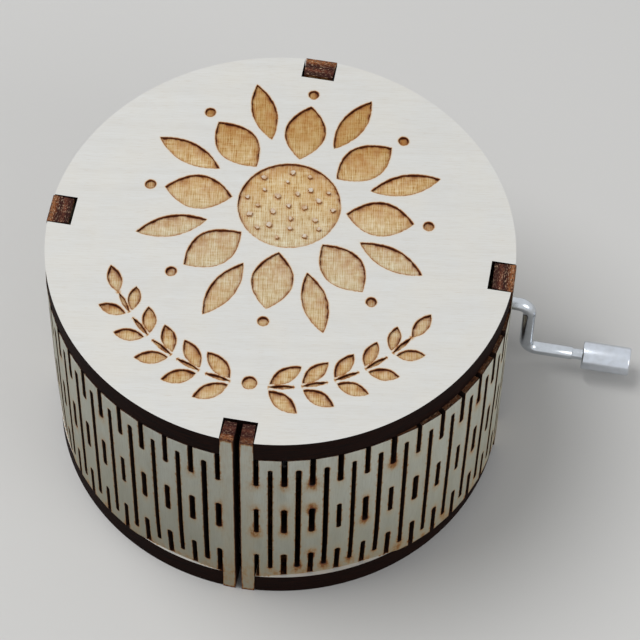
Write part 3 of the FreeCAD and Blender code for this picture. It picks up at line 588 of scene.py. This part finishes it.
def base():
    """The base disc lies face down: its depth runs up from the table."""
    low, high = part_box("movement_screws")
    inward = SCREW_HEAD_RADIUS
    places = [(low.x / MM + inward, low.y / MM + inward), (high.x / MM - inward, high.y / MM - inward)]
    recesses = [[(x, -y) for x, y in round_hole(RECESS_RADIUS, place)] for place in places]
    # Points along the band's foot, where the painted shade under the band ends.
    foot = []
    for number in range(300):
        azimuth = number * 1.2 - 90
        for out in (0.0, -0.25, 1.4 - BAND_THICK):
            x, y = on_circle(BAND_OUTER + bulge(azimuth, DISC_THICK) + out, azimuth)
            if math.hypot(x, y) < DISC_RADIUS - 0.05 and min(abs(x), abs(y)) > NOTCH_HALF + 0.1:
                foot.append((x, -y))
    sheet = Sheet([(x, -y) for x, y in disc_outline()], recesses, foot)

    def level(shapes):
        return 1 if len(shapes) > 1 else 0

    def place(x, y, depth):
        return x, -y, depth

    def tint(x, y, depth):
        """Painted shade on the top face under the band's wall, which shows through the slots that open at its
        foot; clean where the ledge shows.
        """
        azimuth = (math.degrees(math.atan2(-y, x)) + 90) % 360 - 90
        from_foot = BAND_OUTER + bulge(azimuth, DISC_THICK) - math.hypot(x, y)
        return 1.0 if depth == DISC_THICK and 0.1 < from_foot < BAND_THICK else 0.0

    piece = solid("base", sheet, level, place, (0.0, RECESS_DEPTH), DISC_THICK, tint)
    materials = [LID_FACE, LID_FACE, DISC_EDGE, DISC_EDGE, LID_FACE]
    dress(piece, "box", materials, "base_disc")


# ---------------------------------------------------------------- the band

def girth(degrees):
    """Length along the band's outer face from the seam's azimuth."""
    return math.radians(degrees + 90) * BAND_OUTER


def bulge(degrees, height):
    """How far the springy strip stands out from a true circle, or in where it is tucked in at its foot."""
    right = BULGE * math.exp(-((degrees - BULGE_AZIMUTH) / 21) ** 4)
    low = min(1.0, max(0.0, (TUCK_TOP - height) / (TUCK_TOP - DISC_THICK)))
    tucked = 0.0
    for start, end, most in TUCKS:
        along = (degrees - start) / (end - start)
        if 0 < along < 1:
            tucked = most * (4 * along * (1 - along)) ** 0.6
    return right * (0.6 + 0.4 * min(1.0, height / 30)) - tucked * low ** 2


def band_outline():
    """The strip laid flat, with tabs over and under it. Its two ends meet at the seam."""
    start, end = SEAM_GAP / 2, girth(270) - SEAM_GAP / 2
    low, high = DISC_THICK, LID_UNDERSIDE
    tabs = [(start, TAB_HALF)]
    tabs += [(girth(azimuth) - TAB_HALF, girth(azimuth) + TAB_HALF) for azimuth in (0, 90, 180)]
    tabs.append((girth(270) - TAB_HALF, end))
    under, over = [], []
    for left, right in tabs:
        under += [(left, low), (left, 0.0), (right, 0.0), (right, low)]
        over += [(left, high), (left, TOP), (right, TOP), (right, high)]
    return under[1:-1] + over[1:-1][::-1]


def band_slots():
    """Outlines of the slots, and the ends of them with the heat that each end has had."""
    first = math.degrees(math.asin((2 * TAB_HALF + SLOT_WIDTH) / 2 / BAND_OUTER))
    step = (90 - 2 * first) / SLOTS_PER_SIDE
    low, high = DISC_THICK, LID_UNDERSIDE
    middle = (low + high) / 2
    half_middle, beyond = MIDDLE_SLOT_LENGTH / 2, 2.0
    short = [(-beyond, low + EDGE_SLOT_DEPTH), (middle - half_middle, middle + half_middle),
             (high - EDGE_SLOT_DEPTH, TOP + beyond)]
    long = [(low + LONG_SLOT_MARGIN, high - LONG_SLOT_MARGIN)]
    slots, ends = [], []
    for side in range(-1, 3):
        spans = [(90 * side + first + k * step, short) for k in range(SLOTS_PER_SIDE + 1)]
        spans += [(90 * side + first + (k + 0.5) * step, long) for k in range(SLOTS_PER_SIDE)]
        spans += [(90 * side, long)] if side >= 0 else []
        for azimuth, pieces in spans:
            for bottom, top in pieces:
                half = SLOT_WIDTH / 2 * SEED.uniform(0.88, 1.1) * (1.0 if pieces is long else 1.08)
                x = girth(azimuth)
                slots.append(slot_outline(x, bottom, top, half))
                for y, share in ((bottom, 1.0), (top, 0.1 if pieces is long else 0.7)):
                    if 0 < y < TOP:
                        darkening = share * slot_heat(azimuth) * SEED.uniform(0.1, 1.0) ** 1.5
                        ends.append((x, y, darkening))
    return slots, ends


def slot_heat(azimuth):
    """The laser was slow just right of the seam, so the wood is browner there."""
    return 0.3 + 0.9 * fade(azimuth + 76, 14) + 0.35 * fade(azimuth + 42, 16)


def slot_outline(x, bottom, top, half):
    """A slot with round ends, and points along its sides."""
    count = max(2, round((top - bottom) / 0.9))
    side = [bottom + half + (top - bottom - 2 * half) * k / count for k in range(1, count)]
    upper = arc(half, 0, 180, 0.2, (x, top - half))
    lower = arc(half, 180, 360, 0.2, (x, bottom + half))
    return [(x + half, y) for y in side] + upper + [(x - half, y) for y in reversed(side)] + lower


def hole_outline():
    """The crank's hole: a straight bore through the curved strip, so it is wider than it is high."""
    points = []
    for k in range(36):
        y, z = on_circle(CRANK_HOLE_RADIUS, 10 * k, (CRANK_Y, SHAFT_Z))
        points.append((girth(math.degrees(math.asin(y / BAND_OUTER))), z))
    return points


def band():
    slots, ends = band_slots()
    hole = hole_outline()
    rings = [on_circle(radius, 30 * k + turn) for radius, turn in HALO_RINGS for k in range(12)]
    halo = [(x + right, y + HALO_STRETCH * up) for x, y, _ in ends for right, up in rings]
    rows, tab_rows = (6.2, 15, 19, 31, 35, 43.8), (0.35, 0.9, TOP - 0.9, TOP - 0.35)
    columns = [(girth(-89 + 358 * k / 220), height) for k in range(221) for height in rows]
    for side in range(-1, 4):
        across = [girth(90 * side) + TAB_HALF * k / 6 for k in range(-5, 6)]
        columns += [(x, height) for x in across for height in tab_rows]
    rims = [point for slot in slots for point in beside(slot, 0.16)]
    sheet = Sheet(band_outline(), slots + [hole], halo + columns + rims)
    slot_edge = nearest(slots)
    tree = KDTree(len(ends))
    for number, (x, y, _) in enumerate(ends):
        tree.insert((x, y / HALO_STRETCH, 0.0), number)
    tree.balance()

    def tint(x, y, depth):
        """Scorched at the tabs' ends, the slots' ends and edges, and in patches along the foot. Next to the
        seam the strips also darken towards the bottom: painted shade, with a smoke stain in it.
        """
        from_end = min(y, TOP - y)
        by_seam = min(x, girth(270) - x) < TAB_HALF + 0.01
        tab_end = fade(from_end, 0.4) * (0.7 if by_seam else 0.3)
        if depth > 0:
            return tab_end + 0.15 + 0.4 * fade(from_end, 0.6)
        # Painted shade with a smoke stain in it: next to the seam, browner towards the bottom.
        if by_seam:
            tab_end += 0.05 + 0.05 * (1 - y / TOP) ** 2
        _, number, distance = tree.find((x, y / HALO_STRETCH, 0.0))
        slot_end = 0.85 * ends[number][2] * fade(distance, 1.1)
        patches = 1 + math.sin(x * 1.7) * math.sin(x * 0.61)
        at_foot = 0.16 * patches * fade(y - DISC_THICK, 1.8)
        return tab_end + slot_end + at_foot + 0.38 * fade(slot_edge(x, y), 0.13)

    def place(x, y, depth):
        azimuth = math.degrees(x / BAND_OUTER) - 90
        return *on_circle(BAND_OUTER + bulge(azimuth, y) - depth, azimuth), y

    def level(shapes):
        return 0 if shapes == [0] else None

    piece = solid("band", sheet, level, place, (0.0,), BAND_THICK, tint)
    materials = [BAND_FACE, BAND_FACE, BAND_FACE, band_edge(), BAND_FACE]
    dress(piece, "box", materials, "side_band")


# ---------------------------------------------------------------- the crank

def tube(name, stations):
    """A round bar through stations of (middle, direction, radius), all in the plane of the wire."""
    around = 48
    points, faces = [], []
    for middle, direction, radius in stations:
        across = Vector((-direction.z, 0, direction.x))
        for k in range(around):
            angle = 2 * math.pi * k / around
            outward = across * math.cos(angle) + Vector((0, 1, 0)) * math.sin(angle)
            points.append((middle + outward * radius) * MM)
    for station in range(len(stations) - 1):
        for k in range(around):
            here, there = station * around + k, station * around + (k + 1) % around
            faces.append((here, here + around, there + around, there))
    faces.append(tuple(range(around)))
    faces.append(tuple(reversed(range(len(points) - around, len(points)))))
    return mesh_piece(name, points, faces, 40)


def mesh_piece(name, points, faces, sharp):
    """A smooth-shaded piece with edges kept sharp from some degrees on."""
    mesh = bpy.data.meshes.new(name)
    mesh.from_pydata(points, [], faces)
    mesh.shade_smooth()
    mesh.set_sharp_from_angle(angle=math.radians(sharp))
    piece = bpy.data.objects.new(name, mesh)
    bpy.context.collection.objects.link(piece)
    return piece


def wire():
    """Shaft, two bends, arm and handle, with a turned-down journal for the knob."""
    ahead, chamfered = Vector((1, 0, 0)), WIRE_RADIUS - WIRE_CHAMFER
    inner_end = Vector((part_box("crank_wire")[0].x / MM + 0.01, CRANK_Y, SHAFT_Z))
    stations = [(inner_end, ahead, chamfered), (inner_end + Vector((0.2, 0, 0)), ahead, WIRE_RADIUS)]
    upper = Vector((ARM_X - BEND_RADIUS, CRANK_Y, SHAFT_Z - BEND_RADIUS))
    lower = Vector((ARM_X + BEND_RADIUS, CRANK_Y, HANDLE_Z + BEND_RADIUS))
    turns = [math.radians(90 * k / 16) for k in range(17)]
    for turn in turns:
        radial = Vector((math.sin(turn), 0, math.cos(turn)))
        direction = Vector((math.cos(turn), 0, -math.sin(turn)))
        stations.append((upper + radial * BEND_RADIUS, direction, WIRE_RADIUS))
    for turn in turns:
        radial = Vector((-math.cos(turn), 0, -math.sin(turn)))
        direction = Vector((math.sin(turn), 0, -math.cos(turn)))
        stations.append((lower + radial * BEND_RADIUS, direction, WIRE_RADIUS))
    for x, radius in ((SHOULDER_X - 0.2, WIRE_RADIUS), (SHOULDER_X, chamfered),
                      (SHOULDER_X, JOURNAL_RADIUS), (KNOB_END - 1.1, JOURNAL_RADIUS)):
        stations.append((Vector((x, CRANK_Y, HANDLE_Z)), ahead, radius))
    piece = tube("crank_wire_bent", stations)
    dress(piece, "crank", [metal("wire_steel", "cdd2d8", 0.2)], "crank_wire")


def knob():
    """A turned knob with softened rims and a recess in its end."""
    length, softness = KNOB_END - KNOB_START, 0.35
    bore, recess, recess_floor = 1.06, 1.85, length - 1.3
    rim = []
    for turn in range(0, 91, 15):
        along, out = math.cos(math.radians(turn)), math.sin(math.radians(turn))
        rim.append((softness - softness * along, KNOB_RADIUS - softness + softness * out))
    profile = [(recess_floor, bore), (0.0, bore), (0.0, 1.25)] + rim
    profile += [(length - x, radius) for x, radius in reversed(rim)]
    profile += [(length, recess + 0.1), (length - 0.1, recess), (recess_floor, recess)]
    around = 72
    points = []
    for x, radius in profile:
        for k in range(around):
            y, z = on_circle(radius, 360 * k / around, (CRANK_Y, HANDLE_Z))
            points.append(Vector((KNOB_START + x, y, z)) * MM)
    faces = []
    for ring in range(len(profile)):
        after = (ring + 1) % len(profile)
        for k in range(around):
            there = (k + 1) % around
            faces.append((ring * around + k, ring * around + there,
                          after * around + there, after * around + k))
    piece = mesh_piece("knob_turned", points, faces, 35)
    turned = metal("knob_metal", "d5dae2", 0.24, (0.7, 0.0015))
    dress(piece, "knob", [turned], "crank_knob")


# ---------------------------------------------------------------- the movement, the room and the camera

def paint(node, material):
    """Gives a CAD node a better material."""
    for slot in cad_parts[node].material_slots:
        slot.material = material


def paint_movement():
    steel = metal("plain_steel", "b6b5b3", 0.32)
    brass = metal("brass", "c39a52", 0.3)
    casting = metal("zinc_casting", "8d8d8f", 0.5)
    for node in ("arbor_bracket", "comb", "arbor", "drum_pins", "knob_retainer"):
        paint(node, steel)
    for node in ("bracket_screw", "comb_screws", "movement_screws"):
        paint(node, metal("screw_" + node, "a9a9ab", 0.35))
    for node in ("drum", "worm"):
        paint(node, brass)
    paint("bedplate", casting)
    paint("bass_weights", metal("lead", "5d6067", 0.6))
    for node in ("left_drum_cap", "right_drum_cap", "worm_wheel"):
        paint(node, plastic("plastic_" + node, "dcd9d0", 0.45))


def floor():
    """A pale floor. Lamplight that it throws back is dimmed, so that it doesn't light the box's side.

    Far from the box, where the lamps don't reach, it glows for the eye and in metal alone.
    """
    mesh = bpy.data.meshes.new("floor")
    reach = 3.0
    corners = [(-reach, -reach, 0), (reach, -reach, 0), (reach, reach, 0), (-reach, reach, 0)]
    mesh.from_pydata(corners, [], [(0, 1, 2, 3)])
    piece = bpy.data.objects.new("floor", mesh)
    bpy.context.collection.objects.link(piece)
    look = Look("floor", 0.8, specular=0.2)
    rays = look.node("LightPath", {}).outputs
    seen = look.maths("MAXIMUM", rays["Is Camera Ray"], rays["Is Glossy Ray"])
    seen = look.maths("MAXIMUM", seen, rays["Is Transmission Ray"])
    place = look.millimetres()
    grain = look.noise(place, 0.009, 2.0)
    away = look.node("VectorMath", {0: place}, operation="LENGTH").outputs["Value"]
    unlit_from, unlit_to = 170.0, 800.0
    glow = look.maths("MULTIPLY", seen, look.spread(away, unlit_from, unlit_to, 0.0, 0.4))
    look.tree.links.new(glow, look.surface.inputs["Emission Strength"])
    look.surface.inputs["Emission Color"].default_value = colour("fffefc")
    pale = look.mix(look.spread(grain, 0.3, 0.7, 0.0, 0.5), "d2d1cf", "cfcecc")
    mesh.materials.append(look.finish(look.mix(seen, "6f6e6c", pale)))


def lamp(name, place, size, power):
    """A round lamp that faces the box. Place and size are in metres, and power in watts."""
    target = (0, 0, 0.03)
    light = bpy.data.lights.new(name, "AREA")
    light.shape = "DISK"
    light.size = size
    light.energy = power
    piece = bpy.data.objects.new(name, light)
    piece.location = place
    piece.rotation_euler = (Vector(target) - Vector(place)).to_track_quat("-Z", "Y").to_euler()
    bpy.context.collection.objects.link(piece)


def room():
    """Soft lamps and a pale world, which is brighter to the eye and in metal than it lights the box."""
    lamp("key", (-0.32, 0.03, 0.75), 0.5, 3.98)
    lamp("front", (0.4, -0.23, 0.31), 0.35, 0.58)
    world = bpy.data.worlds.new("room")
    world.use_nodes = True
    tree = world.node_tree
    rays = tree.nodes.new("ShaderNodeLightPath").outputs
    seen = rays["Is Camera Ray"]
    for ray in ("Is Glossy Ray", "Is Transmission Ray"):
        either = tree.nodes.new("ShaderNodeMath")
        either.operation = "MAXIMUM"
        tree.links.new(seen, either.inputs[0])
        tree.links.new(rays[ray], either.inputs[1])
        seen = either.outputs[0]
    strength = tree.nodes.new("ShaderNodeMapRange")
    strength.inputs["To Min"].default_value = 0.375
    strength.inputs["To Max"].default_value = 0.85
    tree.links.new(seen, strength.inputs["Value"])
    tree.links.new(strength.outputs[0], tree.nodes["Background"].inputs["Strength"])
    tree.nodes["Background"].inputs["Color"].default_value = (0.96, 0.98, 1.0, 1)
    bpy.context.scene.world = world
    bpy.context.scene.view_settings.view_transform = "Standard"


def camera():
    data = bpy.data.cameras.new("camera")
    data.lens = 165.0
    data.sensor_width = 36.0
    data.clip_start = 0.01
    piece = bpy.data.objects.new("camera", data)
    place, target = Vector(CAMERA_PLACE) * MM, Vector(CAMERA_TARGET) * MM
    look = (target - place).to_track_quat("-Z", "Y").to_matrix()
    roll = Matrix.Rotation(math.radians(CAMERA_ROLL), 3, "Z")
    piece.matrix_world = Matrix.Translation(place) @ (look @ roll).to_4x4()
    bpy.context.collection.objects.link(piece)
    bpy.context.scene.camera = piece


LID_FACE = wood_face("lid_face", 0.16, 2.6, -GRAIN_TURN, "d6d6d3", "d1d0cc", "c5bfb3", "b59c7c", "d8d5cd")
# The band's last colour, 918c73, is its foot: painted shade towards the foot, with a yellowish smoke stain in
# it.
BAND_FACE = wood_face("band_face", 2.6, 0.16, 0.0, "e4e6da", "cccdbf", "b2ad99", "87795f", "dfddca", "918c73")
DISC_EDGE = disc_edge()

lid()
base()
band()
wire()
knob()
paint_movement()
floor()
room()
camera()
